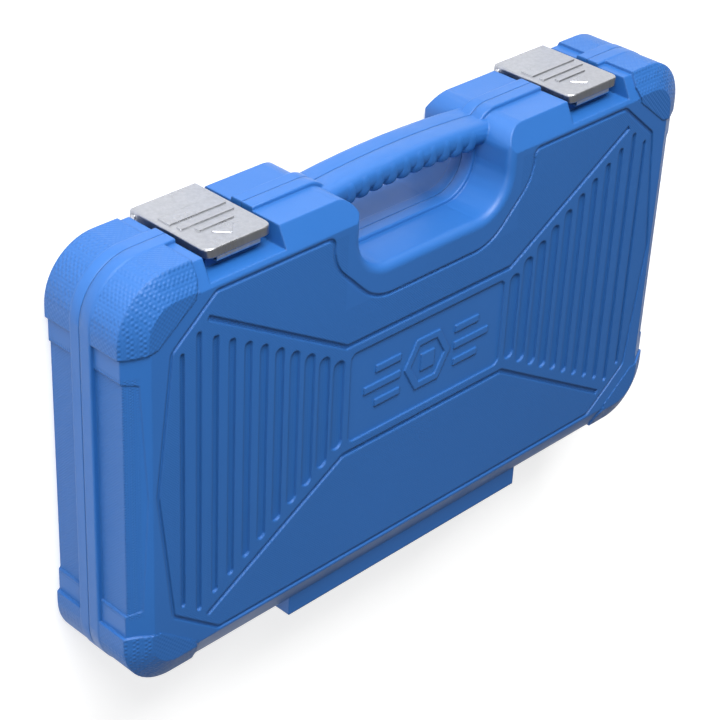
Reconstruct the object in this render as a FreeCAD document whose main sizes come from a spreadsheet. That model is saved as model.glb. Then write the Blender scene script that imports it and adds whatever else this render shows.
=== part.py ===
"""Socket wrench set in a carrying case, lying on its back: +X along the case, +Y towards the hinge,
+Z up out of the lid. The origin is the middle of the case's back face, on the surface it lies on."""
import FreeCAD, Part
import math
import os
import re
import sys
import Sketcher

doc = FreeCAD.newDocument("socket_set")

# ---------------------------------------------------------------- driving dimensions (mm, degrees)
DIMS = {
    # case shells
    "case_width": 390, "case_length": 222, "shell_height": 31.5, "wall": 2.2,
    "corner_radius": 27, "bevel_width": 12.6, "bevel_drop": 6.5,
    "pad_proud": 1.6, "pad_rise": 0.4, "pad_start_x": 154, "pad_start_y": 77.7,
    "end_recess": 1.0, "end_panel_half": 67,
    "ridge_proud": 2.0, "ridge_height": 7.2, "seam_gap": 0.12,
    # hand opening and handle
    "scoop_half_width": 53, "scoop_floor": 68.3, "scoop_radius": 21, "scoop_flare": 12.6,
    "scoop_edge": 4.5, "rim_half_width": 51.8, "rim_floor": 69.5, "rim_radius": 20, "rim_height": 7.2,
    "handle_inner": 96, "handle_outer": 108.2, "handle_half_thick": 13.5, "handle_arch": 3,
    "handle_round": 5.5, "bump_pitch": 9.4, "bump_radius": 5.6,
    # front panel relief
    "groove_width": 1.9, "groove_depth": 0.9, "slot_depth": 1.5, "slot_pitch": 10.0, "slot_first": 164.6,
    "slot_narrow": 2.7, "slot_wide": 7.9, "rule_width": 2.7, "rule_depth": 1.1,
    "rule_half": 59.9, "rule_offset": 31.8, "rule_run": 89.3, "rule_climb": 52.2,
    "plaque_half_width": 56.5, "plaque_half_height": 26, "plaque_depth": 1.0, "plaque_round": 4,
    "emblem_rise": 0.8,
    # latches
    "latch_spacing": 124.4, "recess_width": 46, "recess_floor": 100.4,
    "cover_width": 40, "cover_face": 112.8, "cover_thick": 1.1, "cover_front": 24.8, "cover_rear": 27.8,
    "cover_corner": 5, "skirt_drop": 4.6, "press_rise": 0.5, "press_thick": 0.9,
    "arrow_half_width": 6.4, "arrow_start": 12.5, "arrow_length": 6.6,
    "hook_width": 26, "hook_thick": 0.9, "hook_gap": 0.02, "hook_deep": 8.3, "hook_length": 14,
    "hook_grip": 5.3, "hook_bend": 1.3, "hook_tip": 2.3,
    "catch_proud": 7.1, "catch_height": 3.2, "catch_gap": 0.5, "lug_gap": 0.25,
    "latch_pin_radius": 1.4, "latch_lug_radius": 1.95, "latch_pin_height": 25.6, "latch_lug_half": 13,
    # lid hinge and foot
    "foot_half_width": 87.5, "hinge_gap": 0.75, "foot_height": 25, "hinge_radius": 5.3,
    "hinge_side_width": 25, "hinge_pin_radius": 1.5, "running": 0.05, "side_gap": 0.4,
    # tray and lid liner
    "tray_top": 3.0, "tray_wall": 1.4, "tray_gap": 0.5, "liner_thick": 3, "fit": 0.4,
    # tools: half-inch and quarter-inch drive
    "half_square": 12.7, "half_drive_radius": 11, "half_socket_length": 38, "half_socket_gap": 5,
    "quarter_square": 6.35, "quarter_drive_radius": 6, "quarter_socket_length": 25, "quarter_socket_gap": 4,
    "half_head_radius": 20, "half_head_height": 19, "half_ratchet_length": 252,
    "quarter_head_radius": 13, "quarter_head_height": 13, "quarter_ratchet_length": 150,
    "half_grip_radius": 15, "quarter_grip_radius": 10.5,
    "half_ratchet_row": 40, "row_gap": 5, "tool_gap": 2, "small_gap": 3, "finger_gap": 6.5, "front_gap": 3.6,
    "spinner_radius": 12.9, "row_start": 178,
    "long_extension": 250, "short_extension": 75, "quarter_extension": 100,
    "plug_socket_length": 64, "slide_bar_length": 115, "slide_travel": 36, "button_travel": 1.6,
}
sheet = doc.addObject("Spreadsheet::Sheet", "dims")
for row, (alias, value) in enumerate(DIMS.items(), start=1):
    sheet.set(f"A{row}", alias)
    sheet.set(f"B{row}", str(value))
    sheet.setAlias(f"B{row}", alias)
doc.recompute()

WORD = re.compile(r"\b[a-z]+(?:_[a-z]+)+\b|\bwall\b|\bfit\b|\brunning\b")
nodes = []


def linked(text):
    """An expression with each dimension's name tied to its cell."""
    return WORD.sub(lambda found: "dims." + found.group(0), str(text))


def value(text):
    """What an expression of dimensions comes to, as a number."""
    return float(sheet.evalExpression(linked(text)))


def bind(item, **sizes):
    for name, text in sizes.items():
        item.setExpression(name, linked(text))
    return item


def place(item, x="0", y="0", z="0", axis=(0, 0, 1), angle=0):
    """Put an object at x, y, z, turned about an axis; each place is an expression."""
    item.Placement = FreeCAD.Placement(
        FreeCAD.Vector(value(x), value(y), value(z)), FreeCAD.Rotation(FreeCAD.Vector(*axis), angle)
    )
    for letter, text in zip("xyz", (x, y, z)):
        item.setExpression(f".Placement.Base.{letter}", linked(text))
    return item


def keep(item, name):
    """Name a finished sub-part; its place is lifted so that the case's back lies at z = 0."""
    item.Label = name
    lift = item.Placement.Base.z
    old = dict(item.ExpressionEngine).get(".Placement.Base.z")
    rise = "dims.shell_height"
    item.setExpression(".Placement.Base.z", f"{old} + {rise}" if old else f"{lift} + {rise}")
    nodes.append(item)
    return item


# ---------------------------------------------------------------- helpers for primitives and booleans
def box(name, length, width, height, x="0", y="0", z="0", centred="xy"):
    """A box; the letters in centred name the directions in which x, y, z is its middle."""
    item = bind(doc.addObject("Part::Box", name), Length=length, Width=width, Height=height)
    starts = []
    for letter, text, size in zip("xyz", (x, y, z), (length, width, height)):
        starts.append(f"({text}) - ({size}) / 2" if letter in centred else text)
    return place(item, *starts)


TURN = {"z": ((0, 0, 1), 0), "x": ((0, 1, 0), 90), "y": ((1, 0, 0), -90)}


def rod(name, radius, height, x="0", y="0", z="0", along="z"):
    """A cylinder that starts at x, y, z and runs in the positive direction of its axis."""
    item = bind(doc.addObject("Part::Cylinder", name), Radius=radius, Height=height)
    return place(item, x, y, z, *TURN[along])


def fuse(name, *items):
    item = doc.addObject("Part::MultiFuse", name)
    item.Shapes = list(items)
    item.Refine = True
    return item


def common(name, first, second):
    item = doc.addObject("Part::Common", name)
    item.Base, item.Tool = first, second
    return item


def cut(name, base, *tools):
    item = doc.addObject("Part::Cut", name)
    item.Base = base
    item.Tool = tools[0] if len(tools) == 1 else fuse(f"{name}_tools", *tools)
    item.Refine = True
    return item


# ---------------------------------------------------------------- helpers for bodies and sketches
def body(name):
    return doc.addObject("PartDesign::Body", name)


def sketch(owner, name, plane="XY_Plane", offset="0"):
    item = owner.newObject("Sketcher::SketchObject", name)
    origin_plane = [f for f in owner.Origin.OriginFeatures if f.Role == plane][0]
    item.AttachmentSupport = [(origin_plane, "")]
    item.MapMode = "FlatFace"
    item.setExpression(".AttachmentOffset.Base.z", linked(offset))
    return item


def pins(geometry, end, x, y):
    """Constraints that tie a point of a sketch to a place, each with its expression."""
    return [
        (Sketcher.Constraint(f"Distance{kind}", -1, 1, geometry, end, value(text)), text)
        for kind, text in (("X", x), ("Y", y))
    ]


def constrain(drawing, rules):
    """Add constraints to a sketch; a rule is (constraint, expression or None)."""
    numbers = drawing.addConstraint([rule for rule, text in rules])
    for number, (rule, text) in zip(numbers, rules):
        if text is not None:
            drawing.setExpression(f"Constraints[{number}]", linked(text))
    return drawing


def outline(drawing, corners):
    """A closed outline tied to the sheet. A corner is (x, y), or (x, y, radius) for a rounded one."""
    spots = [FreeCAD.Vector(value(corner[0]), value(corner[1]), 0) for corner in corners]
    count = len(corners)
    leave, arrive, arcs = {}, {}, {}
    for index, corner in enumerate(corners):
        spot, before, after = spots[index], spots[index - 1], spots[(index + 1) % count]
        arrive[index] = leave[index] = spot
        if len(corner) == 3:
            inward, outward = (before - spot).normalize(), (after - spot).normalize()
            half_turn = inward.getAngle(outward) / 2
            radius = value(corner[2])
            arrive[index] = spot + inward * (radius / math.tan(half_turn))
            leave[index] = spot + outward * (radius / math.tan(half_turn))
            centre = spot + (inward + outward).normalize() * (radius / math.sin(half_turn))
            turns_left = inward.cross(outward).z < 0
            start, stop = (arrive[index], leave[index]) if turns_left else (leave[index], arrive[index])
            angles = [math.atan2((end - centre).y, (end - centre).x) for end in (start, stop)]
            ring = Part.Circle(centre, FreeCAD.Vector(0, 0, 1), radius)
            arcs[index] = (Part.ArcOfCircle(ring, *angles), (1, 2) if turns_left else (2, 1))
    lines = [
        drawing.addGeometry(Part.LineSegment(leave[index], arrive[(index + 1) % count]), False)
        for index in range(count)
    ]
    rules = []
    for index, corner in enumerate(corners):
        came, goes = lines[index - 1], lines[index]
        if index not in arcs:
            rules.append((Sketcher.Constraint("Coincident", came, 2, goes, 1), None))
            rules += pins(goes, 1, corner[0], corner[1])
            continue
        curve, (first, last) = arcs[index]
        arc = drawing.addGeometry(curve, False)
        mark = drawing.addGeometry(Part.Point(spots[index]), True)
        rules += [
            (Sketcher.Constraint("Tangent", came, 2, arc, first), None),
            (Sketcher.Constraint("Tangent", goes, 1, arc, last), None),
            (Sketcher.Constraint("Radius", arc, value(corner[2])), corner[2]),
            *pins(mark, 1, corner[0], corner[1]),
            (Sketcher.Constraint("PointOnObject", mark, 1, came), None),
            (Sketcher.Constraint("PointOnObject", mark, 1, goes), None),
        ]
    return constrain(drawing, rules)


def slot(drawing, x, low, high, width):
    """A slot with round ends that runs along the sketch's second direction."""
    mid, half = value(x), value(width) / 2
    bottom, top = value(low) + half, value(high) - half
    normal = FreeCAD.Vector(0, 0, 1)
    up = Part.ArcOfCircle(Part.Circle(FreeCAD.Vector(mid, top, 0), normal, half), 0, math.pi)
    down = Part.ArcOfCircle(Part.Circle(FreeCAD.Vector(mid, bottom, 0), normal, half), math.pi, 2 * math.pi)
    left = Part.LineSegment(FreeCAD.Vector(mid - half, top, 0), FreeCAD.Vector(mid - half, bottom, 0))
    right = Part.LineSegment(FreeCAD.Vector(mid + half, bottom, 0), FreeCAD.Vector(mid + half, top, 0))
    arc_up, side_left, arc_down, side_right = drawing.addGeometry([up, left, down, right], False)
    joins = (
        (arc_up, 2, side_left, 1), (side_left, 2, arc_down, 1),
        (arc_down, 2, side_right, 1), (side_right, 2, arc_up, 1),
    )
    return constrain(drawing, [
        *[(Sketcher.Constraint("Tangent", *ends), None) for ends in joins],
        *pins(arc_up, 3, x, f"({high}) - ({width}) / 2"),
        *pins(arc_down, 3, x, f"({low}) + ({width}) / 2"),
        (Sketcher.Constraint("Radius", arc_up, half), f"({width}) / 2"),
    ])


def feature(owner, kind, name, profile, **sizes):
    """A sketched feature of a body: Pad, Pocket, Revolution or Groove."""
    item = owner.newObject(f"PartDesign::{kind}", name)
    item.Profile = profile
    for size, text in sizes.items():
        if isinstance(text, str):
            item.setExpression(size, linked(text))
        else:
            setattr(item, size, text)
    profile.Visibility = False
    owner.Tip = item
    doc.recompute()
    return item


def dress(owner, kind, name, pick, **sizes):
    """A Fillet or Chamfer on the edges of the body's tip that pick() accepts."""
    base = owner.Tip
    chosen = [f"Edge{i}" for i, edge in enumerate(base.Shape.Edges, start=1) if pick(edge)]
    item = owner.newObject(f"PartDesign::{kind}", name)
    item.Base = (base, chosen)
    for size, text in sizes.items():
        if isinstance(text, str) and size != "ChamferType":
            item.setExpression(size, linked(text))
        else:
            setattr(item, size, text)
    owner.Tip = item
    doc.recompute()
    return item


def middle(edge):
    return edge.valueAt((edge.FirstParameter + edge.LastParameter) / 2)


def runs(edge, direction):
    """Whether an edge is straight along x, y or z."""
    if len(edge.Vertexes) != 2:
        return False
    step = edge.Vertexes[1].Point - edge.Vertexes[0].Point
    across = [abs(getattr(step, letter)) for letter in "xyz" if letter != direction]
    return max(across) < 1e-6 and edge.Length > 1e-6


def at_height(edge, height):
    return all(abs(vertex.Point.z - height) < 1e-4 for vertex in edge.Vertexes)


# ---------------------------------------------------------------- case shells
def rectangle(drawing, half_x, half_y):
    low, high = f"-({half_y})", half_y
    return outline(drawing, [(f"-({half_x})", low), (half_x, low), (half_x, high), (f"-({half_x})", high)])


def scoop_outline(drawing, grow="0"):
    """The hand opening seen from above: narrow in the case, wide beyond its front wall."""
    half = f"scoop_half_width - ({grow})"
    wide = "scoop_half_width + scoop_flare * 2"
    floor = f"-(scoop_floor + ({grow}))"
    edge, out = f"-(case_length / 2 + ({grow}))", "-case_length"
    return outline(drawing, [
        (f"-({half})", floor), (half, floor), (half, edge), (wide, edge), (wide, out),
        (f"-({wide})", out), (f"-({wide})", edge), (f"-({half})", edge),
    ])


def cut_scoop(owner, name, down, grow="0"):
    """Cut the hand opening through a body and round its corners."""
    scoop = scoop_outline(sketch(owner, f"{name}_scoop_outline"), grow)
    feature(owner, "Pocket", f"{name}_scoop", scoop, Length="shell_height * 2", Reversed=not down)
    floor, edge = -value(f"scoop_floor + ({grow})"), -value(f"case_length / 2 + ({grow})")
    side = value(f"scoop_half_width - ({grow})")

    def corner_at(edge_item, y):
        spot = middle(edge_item)
        return runs(edge_item, "z") and abs(spot.y - y) < 1e-4 and abs(abs(spot.x) - side) < 1e-4

    dress(owner, "Fillet", f"{name}_scoop_corners", lambda e: corner_at(e, floor),
          Radius=f"scoop_radius - ({grow})")
    dress(owner, "Fillet", f"{name}_scoop_flare", lambda e: corner_at(e, edge),
          Radius=f"scoop_flare + ({grow})")


def cut_latch_recesses(owner, name, down, grow="0"):
    drawing = sketch(owner, f"{name}_recess_outline")
    inner = f"-(recess_floor + ({grow}))"
    for way in (-1, 1):
        near = f"{way} * (latch_spacing - recess_width / 2 + ({grow}))"
        far = f"{way} * (latch_spacing + recess_width / 2 - ({grow}))"
        outline(drawing, [(near, inner), (far, inner), (far, "-case_length"), (near, "-case_length")])
    feature(owner, "Pocket", f"{name}_recess", drawing, Length="shell_height * 2", Reversed=not down)


def block(name, down, grow="0", rise="0"):
    """One half of the case as a solid block: rounded corners and a bevelled face."""
    owner = body(name)
    half_x, half_y = f"case_width / 2 + ({grow})", f"case_length / 2 + ({grow})"
    height = f"shell_height + ({rise})"
    drawing = rectangle(sketch(owner, f"{name}_outline"), half_x, half_y)
    feature(owner, "Pad", f"{name}_pad", drawing, Length=height, Reversed=down)
    dress(owner, "Fillet", f"{name}_corners", lambda e: runs(e, "z"), Radius=f"corner_radius + ({grow})")
    face_z = value(height) * (-1 if down else 1)
    bevel = dress(owner, "Chamfer", f"{name}_bevel", lambda e: at_height(e, face_z),
                  ChamferType="Two distances", Size="bevel_width", Size2="bevel_drop")
    face = max(bevel.Shape.Faces, key=lambda f: f.CenterOfMass.z * (-1 if down else 1))
    if abs(face.BoundBox.XMax - value(f"{half_x} - bevel_width")) > 1e-3:
        bevel.FlipDirection = True
        doc.recompute()
    return owner


def tall(owner, name, drawing, start, height, down):
    """Raise a sketch from the seam side between two heights."""
    drawing.setExpression(".AttachmentOffset.Base.z", linked(f"-({start})" if down else start))
    return feature(owner, "Pad", name, drawing, Length=f"({height}) - ({start})", Reversed=down)


def end_panels(name, down):
    """The two end walls' recessed panels, which run on over the bevel and narrow there."""
    zones = body(f"{name}_end_zones")
    drawing = sketch(zones, f"{name}_end_zone_outline")
    for way in (-1, 1):
        outline(drawing, [
            (f"{way} * (case_width / 2 - 10.7)", "0"), (f"{way} * (case_width / 2 - 7.7)", "63"),
            (f"{way} * case_width / 2 * 1.05", "end_panel_half"),
            (f"{way} * case_width / 2 * 1.05", "-end_panel_half"),
            (f"{way} * (case_width / 2 - 7.7)", "-63"),
        ])
    tall(zones, f"{name}_end_zone_pad", drawing, "ridge_height", "shell_height + 2", down)
    return cut(f"{name}_end_relief", zones, block(f"{name}_inset", down, grow="-end_recess"))


def corner_pads(name, down):
    """Thicker pads that wrap the four corners, with a slanted edge on the case's face."""
    zones = body(f"{name}_pad_zones")
    zones.AllowCompound = True
    drawing = sketch(zones, f"{name}_pad_zone_outline")
    face_x, face_y = "case_width / 2 - 16.5", "case_length / 2 - 15.2"
    for way_x in (-1, 1):
        for way_y in (-1, 1):
            outline(drawing, [
                (f"{way_x} * ({face_x})", f"{way_y} * (pad_start_y + 1.6)"),
                (f"{way_x} * (pad_start_x + 3.5)", f"{way_y} * ({face_y})"),
                (f"{way_x} * pad_start_x", f"{way_y} * ({face_y} + 9)"),
                (f"{way_x} * pad_start_x", f"{way_y} * case_length"),
                (f"{way_x} * case_width", f"{way_y} * case_length"),
                (f"{way_x} * case_width", f"{way_y} * pad_start_y"),
                (f"{way_x} * ({face_x} + 11)", f"{way_y} * pad_start_y"),
            ])
    tall(zones, f"{name}_pad_zone_pad", drawing, "0", "shell_height + 2", down)
    grown = block(f"{name}_grown", down, "pad_proud", "0" if down else "pad_rise")
    return common(f"{name}_corner_pads", grown, zones)


def seam_ridge(name, down):
    """The rib beside the seam; it stops at the latches and at the hinge."""
    owner = body(f"{name}_ridge")
    half_x, half_y = "case_width / 2 + ridge_proud", "case_length / 2 + ridge_proud"
    drawing = rectangle(sketch(owner, f"{name}_ridge_outline"), half_x, half_y)
    feature(owner, "Pad", f"{name}_ridge_pad", drawing, Length="ridge_height", Reversed=down)
    dress(owner, "Fillet", f"{name}_ridge_corners", lambda e: runs(e, "z"),
          Radius="corner_radius + ridge_proud")
    top = value("ridge_height") * (-1 if down else 1)
    cut_scoop(owner, f"{name}_ridge", down, "ridge_proud")
    dress(owner, "Fillet", f"{name}_ridge_edge", lambda e: at_height(e, top), Radius="ridge_proud / 2")
    cut_latch_recesses(owner, f"{name}_ridge", down)
    gap = sketch(owner, f"{name}_ridge_gap_outline")
    reach = "foot_half_width + hinge_side_width + 2"
    outline(gap, [(f"-({reach})", "case_length / 2"), (reach, "case_length / 2"),
                  (reach, "case_length"), (f"-({reach})", "case_length")])
    feature(owner, "Pocket", f"{name}_ridge_gap", gap, Length="shell_height", Reversed=not down)
    return owner


def opening_rim(name, down):
    """The raised rim round the hand opening, up to the handle."""
    owner = body(f"{name}_rim")
    far = "handle_inner + handle_round"
    drawing = sketch(owner, f"{name}_rim_outline")
    side, floor = "scoop_half_width + wall / 2", "scoop_floor - wall / 2"
    outline(drawing, [
        (f"-({side})", f"-({floor})", "scoop_radius"), (side, f"-({floor})", "scoop_radius"),
        (side, f"-({far})"), (f"-({side})", f"-({far})"),
    ])
    feature(owner, "Pad", f"{name}_rim_pad", drawing, Length="rim_height", Reversed=down)
    hole = sketch(owner, f"{name}_rim_hole_outline")
    outline(hole, [
        ("-rim_half_width", "-rim_floor", "rim_radius"), ("rim_half_width", "-rim_floor", "rim_radius"),
        ("rim_half_width", "-case_length"), ("-rim_half_width", "-case_length"),
    ])
    feature(owner, "Pocket", f"{name}_rim_hole", hole, Length="shell_height", Reversed=not down)
    top = value("rim_height") * (-1 if down else 1)
    dress(owner, "Fillet", f"{name}_rim_edge",
          lambda e: at_height(e, top) and abs(middle(e).x) < value("rim_half_width") + 0.01
          and middle(e).y < -value("rim_floor") + 0.01 and middle(e).y > -value(far) + 0.01, Radius="1")
    return owner


ARCH_REACH = "(scoop_half_width + handle_round)"
ARCH_RADIUS = f"({ARCH_REACH} ^ 2 + handle_arch ^ 2) / (2 * handle_arch)"


def handle_half(name, down):
    """Half of the carrying handle: a gently arched bar with finger bumps on its inner side."""
    owner = body(f"{name}_handle")
    drawing = sketch(owner, f"{name}_handle_section", "YZ_Plane")
    inner, outer = f"-({ARCH_RADIUS})", f"-({ARCH_RADIUS} + handle_outer - handle_inner)"
    deep = "-handle_half_thick" if down else "handle_half_thick"
    outline(drawing, [(inner, "0"), (outer, "0"), (outer, deep), (inner, deep)])
    feature(owner, "Revolution", f"{name}_handle_bar", drawing, ReferenceAxis=(drawing, ["V_Axis"]),
            Angle=f"2 * asin({ARCH_REACH} / ({ARCH_RADIUS}))", Midplane=True)
    face_z = value(deep)
    dress(owner, "Fillet", f"{name}_handle_edges",
          lambda e: at_height(e, face_z) and not runs(e, "y") and abs(middle(e).x) < 1, Radius="handle_round")
    place(owner, y=f"{ARCH_RADIUS} - handle_inner - handle_arch")
    pieces = [owner]
    for index in range(10):
        turn = f"({index} - 4.5) * bump_pitch / ({ARCH_RADIUS}) * 180 / pi"
        reach = f"({ARCH_RADIUS} + bump_radius - 1.5)"
        pieces.append(rod(
            f"{name}_bump_{index + 1}", "bump_radius", "handle_half_thick - 1.8", f"{reach} * sin({turn})",
            f"{ARCH_RADIUS} - handle_inner - handle_arch - {reach} * cos({turn})",
            "-(handle_half_thick - 1.8)" if down else "0"))
    return pieces


HINGE_Y = "case_length / 2 + hinge_gap + hinge_radius"


def hinge_lugs(name, down):
    """The foot with the hinge barrel: one wide lug on the lid, and one each side of it on the base."""
    if down:
        inner, wide = "foot_half_width + side_gap", "hinge_side_width - side_gap"
        starts = [inner, f"-({inner}) - ({wide})"]
    else:
        wide, starts = "foot_half_width * 2", ["-foot_half_width"]
    pieces = []
    for index, start in enumerate(starts, start=1):
        deep = "hinge_radius * 2 + hinge_gap + wall"
        pieces.append(box(f"{name}_foot_{index}", wide, deep, "foot_height", start,
                          "case_length / 2 - wall", "-foot_height" if down else "0", centred=""))
        pieces.append(rod(f"{name}_barrel_{index}", "hinge_radius", wide, start, HINGE_Y, along="x"))
    return pieces


def hinge_holes(name):
    """The blind holes in the lid's barrel and the through holes in the base's barrels."""
    tools = []
    starts = ("-foot_half_width - hinge_side_width * 2", "foot_half_width - hinge_side_width")
    for index, start in enumerate(starts, start=1):
        tools.append(rod(f"{name}_pin_hole_{index}", "hinge_pin_radius + running", "hinge_side_width * 3",
                         start, HINGE_Y, along="x"))
    return tools


LATCH_PIN_Y = "-(cover_face - cover_thick - latch_lug_radius - lug_gap)"


def latch_seats(name, down):
    """On the base the lug that carries the latch's pin; on the lid the bar that the hook takes hold of."""
    pieces = []
    for index, way in enumerate((-1, 1), start=1):
        x = f"{way} * latch_spacing"
        if down:
            pieces.append(box(f"{name}_latch_lug_{index}", "latch_lug_half * 2",
                              f"-({LATCH_PIN_Y}) - recess_floor + wall", "latch_lug_radius * 2 + lug_gap",
                              x, LATCH_PIN_Y, "-latch_pin_height - latch_lug_radius * 0.6", centred="x"))
            pieces.append(rod(f"{name}_latch_barrel_{index}", "latch_lug_radius", "latch_lug_half * 2",
                              f"{x} - latch_lug_half", LATCH_PIN_Y, "-latch_pin_height", along="x"))
        else:
            pieces.append(box(f"{name}_catch_{index}", "hook_width + 6", "catch_proud + wall", "catch_height",
                              x, "-(recess_floor + catch_proud)",
                              "cover_front - hook_grip - catch_gap - catch_height", centred="x"))
    return pieces


# how far each slot reaches from the middle, outermost first
SLOT_ENDS = (71.4, 78.8, 73, 67.4, 61.7, 56, 49.9, 44.1, 38.3, 32.3, 26)


def relief(owner, name, down, plaque):
    """Grooves, slots and the plaque of the case's face, cut into the block."""
    way = -1 if down else 1
    height = f"{way} * shell_height"

    def carve(drawing, title, depth):
        drawing.setExpression(".AttachmentOffset.Base.z", linked(height))
        feature(owner, "Pocket", f"{name}_{title}", drawing, Length=depth, Reversed=down)

    for index, end in enumerate(SLOT_ENDS):
        width = f"slot_narrow + (slot_wide - slot_narrow) * {index} / {len(SLOT_ENDS) - 1}"
        pair = sketch(owner, f"{name}_slot_{index + 1}_outline")
        for side in (-1, 1):
            x = f"{side} * (slot_first - slot_pitch * {index})"
            slot(pair, x, f"-{end}", f"{end}", width)
        carve(pair, f"slot_{index + 1}", "slot_depth")
    rules = sketch(owner, f"{name}_rule_outline")
    half = "rule_half"
    run, climb = "(rule_half + rule_run)", "(rule_offset + rule_climb)"
    for side in (-1, 1):
        outline(rules, [
            (f"-{half}", f"{side} * (rule_offset - rule_width / 2)"),
            (half, f"{side} * (rule_offset - rule_width / 2)"),
            (f"{run} + rule_width * 0.25", f"{side} * ({climb} - rule_width * 0.45)"),
            (f"{run} - rule_width * 0.25", f"{side} * ({climb} + rule_width * 0.45)"),
            (f"{half} - rule_width * 0.25", f"{side} * (rule_offset + rule_width / 2)"),
            (f"-{half} + rule_width * 0.25", f"{side} * (rule_offset + rule_width / 2)"),
            (f"-{run} + rule_width * 0.25", f"{side} * ({climb} + rule_width * 0.45)"),
            (f"-{run} - rule_width * 0.25", f"{side} * ({climb} - rule_width * 0.45)"),
        ])
    carve(rules, "rules", "rule_depth")
    if plaque:
        sunk = sketch(owner, f"{name}_plaque_outline")
        half_x, half_y = "plaque_half_width", "plaque_half_height"
        low_x, low_y = f"-{half_x}", f"-{half_y}"
        corners = [(low_x, low_y), (half_x, low_y), (half_x, half_y), (low_x, half_y)]
        outline(sunk, [(*corner, "plaque_round") for corner in corners])
        carve(sunk, "plaque", "plaque_depth")


# the panel's outline on its +X side, from the hand opening round to the hinge side: (x, y, radius)
PANEL_CORNERS = (
    (42, -50.4, 31), (72, -80, 24), (72, -95, 3.2), (144, -95, 3),
    (169.6, -73.5, 3), (178.5, 0, 12), (169.6, 73.5, 3), (141.5, 95, 3),
)


def panel_groove(name, down):
    """The thin groove round the case's face, which bends in below the hand opening."""
    drawing = doc.addObject("Sketcher::SketchObject", f"{name}_panel_line")
    level = "-shell_height" if down else "shell_height - groove_depth"
    drawing.setExpression(".Placement.Base.z", linked(level))
    right = [(f"{x}", f"{y}", f"{radius}") for x, y, radius in PANEL_CORNERS]
    left = [(f"-{x}", y, radius) for x, y, radius in reversed(right)]
    outline(drawing, right + left)
    band = doc.addObject("Part::Offset2D", f"{name}_panel_band")
    band.Source = drawing
    band.Fill = True
    bind(band, Value="groove_width")
    groove = doc.addObject("Part::Extrusion", f"{name}_panel_groove")
    groove.Base = band
    groove.Dir = FreeCAD.Vector(0, 0, 1)
    groove.DirMode = "Custom"
    groove.Solid = True
    bind(groove, LengthFwd="groove_depth")
    return groove


def emblem(name):
    """A plain raised mark in the plaque: a hexagon ring round a square, between rows of bars."""
    low, rise = "shell_height - plaque_depth - 0.2", "emblem_rise + 0.2"

    def hexagon(title, radius):
        item = bind(doc.addObject("Part::Prism", title), Circumradius=radius, Height=rise)
        return place(item, z=low)

    ring = cut(f"{name}_ring", hexagon(f"{name}_outer", "17"), hexagon(f"{name}_inner", "12.5"))
    pieces = [ring, box(f"{name}_square", "10", "10", rise, z=low)]
    for side in (-1, 1):
        for index, (offset, length) in enumerate(((-10, 18), (0, 26), (10, 18)), start=1):
            pieces.append(box(f"{name}_bar_{'l' if side < 0 else 'r'}{index}", f"{length}", "4", rise,
                              f"{side} * (20 + {length} / 2)", f"{offset}", low))
    return pieces


def shell(name, down, plaque):
    outer = block(f"{name}_block", down)
    cut_scoop(outer, f"{name}_block", down)
    cut_latch_recesses(outer, f"{name}_block", down)
    face_z = value("shell_height") * (-1 if down else 1)
    reach, floor = value("scoop_half_width") + 0.01, value("scoop_floor") - 0.01
    dress(outer, "Fillet", f"{name}_scoop_edge",
          lambda e: abs(middle(e).x) < reach and middle(e).y < -floor and at_height(e, face_z),
          Radius="scoop_edge")
    relief(outer, name, down, plaque)
    cavity = block(f"{name}_cavity", down, "-wall", "-wall")
    cut_scoop(cavity, f"{name}_cavity", down, "-wall")
    cut_latch_recesses(cavity, f"{name}_cavity", down, "-wall")
    plain = cut(f"{name}_plain", outer, end_panels(name, down), panel_groove(name, down))
    solid = fuse(f"{name}_solid", plain, corner_pads(name, down), seam_ridge(name, down))
    hollow = cut(f"{name}_hollow", solid, cavity)
    extras = [opening_rim(name, down), *handle_half(name, down), *hinge_lugs(name, down),
              *latch_seats(name, down)]
    if plaque:
        extras += emblem(f"{name}_emblem")
    whole = fuse(f"{name}_whole", hollow, *extras)
    gap = box(f"{name}_seam", "case_width * 2", "case_length * 2", "seam_gap",
              y="-case_length * 1.5 + seam_gap", z="-seam_gap" if down else "0", centred="x")
    tools = [gap, *hinge_holes(name)]
    if down:
        for index, way in enumerate((-1, 1), start=1):
            tools.append(rod(f"{name}_latch_hole_{index}", "latch_pin_radius + running", "recess_width",
                             f"{way} * latch_spacing - recess_width / 2", LATCH_PIN_Y,
                             "-latch_pin_height", along="x"))
    return keep(cut(f"{name}_finished", whole, *tools), f"{name}_shell")


# ---------------------------------------------------------------- hinge pins and latches
def hinge_pins():
    for way, side in ((-1, "left"), (1, "right")):
        far = "foot_half_width + hinge_side_width - 0.5"
        near = "foot_half_width - hinge_side_width + 0.5"
        pin = rod(f"pin_{side}", "hinge_pin_radius", f"({far}) - ({near})",
                  near if way > 0 else f"-({far})", HINGE_Y, along="x")
        keep(pin, f"hinge_pin_{side}")


def profile_pad(name, corners, width, x):
    """A piece of constant section in the Y-Z plane, centred on x."""
    owner = body(name)
    drawing = outline(sketch(owner, f"{name}_section", "YZ_Plane"), corners)
    feature(owner, "Pad", f"{name}_pad", drawing, Length=width, Midplane=True)
    return place(owner, x=x)


COVER_RIBS = ((34, -12, 8), (32, -0.3, 3), (21, 5.7, 3))       # pressed ribs: (width, start, height)


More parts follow.
